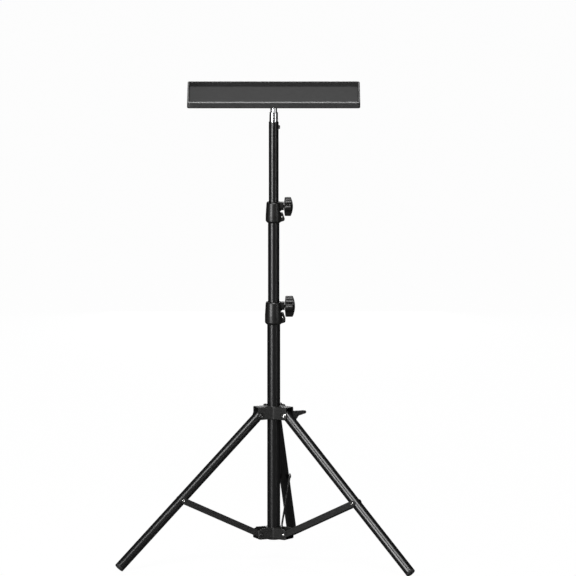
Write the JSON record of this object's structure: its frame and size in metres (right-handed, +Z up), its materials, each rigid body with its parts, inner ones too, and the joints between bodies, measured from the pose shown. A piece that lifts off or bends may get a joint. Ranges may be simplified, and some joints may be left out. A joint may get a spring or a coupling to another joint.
{
  "type": "folding projector stand",
  "caption": "Folding three-legged floor stand with telescoping tubes, clamp collars and a rimmed rectangular tray that turns on a chromed spigot.",
  "frame": {"origin": "on the floor, at the centre of the footprint of the opened stand", "axes": "+Z up, the tray front faces -Y, the clamp knobs are on +X"},
  "size_m": [0.5756, 0.5302, 0.9132],
  "materials": {
    "tube_paint": "gloss black paint on steel tube",
    "steel_coat": "black textured powder coat on pressed steel",
    "bright_steel": "bright nickel plated steel",
    "clamp_plastic": "fine textured black plastic",
    "plug_plastic": "plain black plastic",
    "foot_rubber": "matt black rubber",
    "spigot_chrome": "bright chromium plate",
    "tray_plastic": "pebbled black plastic",
    "grip_mat": "dark grey grip mat"
  },
  "bodies": {
    "column": {"column_tube": "tube_paint", "column_plug": "plug_plastic", "lower_spider": "steel_coat", "lower_rivets": "bright_steel", "lower_collar": "clamp_plastic", "lower_collar_screw": "bright_steel"},
    "spider": {"upper_spider": "steel_coat", "leg_rivets": "bright_steel", "clamp_bolt": "bright_steel"},
    "lever": {"clamp_lever": "clamp_plastic"},
    "left_leg": {"left_leg_tube": "tube_paint", "left_leg_plug": "plug_plastic", "left_leg_pin": "bright_steel", "left_foot": "foot_rubber"},
    "left_brace": {"left_brace": "steel_coat", "left_brace_rivet": "bright_steel"},
    "right_leg": {"right_leg_tube": "tube_paint", "right_leg_plug": "plug_plastic", "right_leg_pin": "bright_steel", "right_foot": "foot_rubber"},
    "right_brace": {"right_brace": "steel_coat", "right_brace_rivet": "bright_steel"},
    "back_leg": {"back_leg_tube": "tube_paint", "back_leg_plug": "plug_plastic", "back_leg_pin": "bright_steel", "back_foot": "foot_rubber"},
    "back_brace": {"back_brace": "steel_coat", "back_brace_rivet": "bright_steel"},
    "middle": {"middle_tube": "tube_paint", "middle_bush": "plug_plastic", "upper_collar": "clamp_plastic", "upper_collar_screw": "bright_steel"},
    "top": {"top_tube": "tube_paint", "top_bush": "plug_plastic", "spigot": "spigot_chrome", "spigot_screw": "bright_steel"},
    "tray": {"tray_pan": "tray_plastic", "tray_mat": "grip_mat", "tray_flange": "plug_plastic", "tray_screws": "bright_steel"},
    "lower_knob": {"lower_knob": "clamp_plastic"},
    "upper_knob": {"upper_knob": "clamp_plastic"}
  },
  "joints": [
    {"name": "spider_slide", "type": "slide", "parent": "column", "child": "spider", "axis": [0, 0, 1], "range_m": [0, 0.1524]},
    {"name": "lever_turn", "type": "hinge", "parent": "spider", "child": "lever", "pos_m": [0.04964, -0.05063, 0.28006], "axis": [-0.4067, 0.9135, 0], "range_deg": [0, 90]},
    {"name": "left_leg_fold", "type": "hinge", "parent": "spider", "child": "left_leg", "pos_m": [-0.01248, -0.07829, 0.28456], "axis": [0.4067, -0.9135, 0], "range_deg": [0, 30.29]},
    {"name": "left_brace_fold", "type": "hinge", "parent": "column", "child": "left_brace", "pos_m": [-0.01248, -0.07829, 0.05306], "axis": [-0.4067, 0.9135, 0], "range_deg": [0, 44.08]},
    {"name": "right_leg_fold", "type": "hinge", "parent": "spider", "child": "right_leg", "pos_m": [0.04264, -0.08409, 0.28456], "axis": [0.5878, 0.809, 0], "range_deg": [0, 30.29]},
    {"name": "right_brace_fold", "type": "hinge", "parent": "column", "child": "right_brace", "pos_m": [0.04264, -0.08409, 0.05306], "axis": [-0.5878, -0.809, 0], "range_deg": [0, 44.08]},
    {"name": "back_leg_fold", "type": "hinge", "parent": "spider", "child": "back_leg", "pos_m": [0.02009, -0.03345, 0.28456], "axis": [-0.9945, 0.1045, 0], "range_deg": [0, 30.29]},
    {"name": "back_brace_fold", "type": "hinge", "parent": "column", "child": "back_brace", "pos_m": [0.02009, -0.03345, 0.05306], "axis": [0.9945, -0.1045, 0], "range_deg": [0, 44.08]},
    {"name": "middle_slide", "type": "slide", "parent": "column", "child": "middle", "axis": [0, 0, 1], "range_m": [-0.149, 0.18]},
    {"name": "top_slide", "type": "slide", "parent": "middle", "child": "top", "axis": [0, 0, 1], "range_m": [-0.136, 0.19]},
    {"name": "tray_swivel", "type": "hinge", "parent": "top", "child": "tray", "pos_m": [0.01675, -0.06528, 0.90066], "axis": [0, 0, 1], "continuous": true},
    {"name": "lower_knob_turn", "type": "hinge", "parent": "column", "child": "lower_knob", "pos_m": [0.03775, -0.06528, 0.49516], "axis": [1, 0, 0], "range_deg": [0, 360]},
    {"name": "upper_knob_turn", "type": "hinge", "parent": "middle", "child": "upper_knob", "pos_m": [0.03625, -0.06528, 0.68966], "axis": [1, 0, 0], "range_deg": [0, 360]}
  ],
  "couplings": [
    {"joint": "left_leg_fold", "follows": "spider_slide", "rad_per_m": 3.4663},
    {"joint": "left_brace_fold", "follows": "spider_slide", "rad_per_m": 5.0462},
    {"joint": "right_leg_fold", "follows": "spider_slide", "rad_per_m": 3.4663},
    {"joint": "right_brace_fold", "follows": "spider_slide", "rad_per_m": 5.0462},
    {"joint": "back_leg_fold", "follows": "spider_slide", "rad_per_m": 3.4663},
    {"joint": "back_brace_fold", "follows": "spider_slide", "rad_per_m": 5.0462}
  ]
}
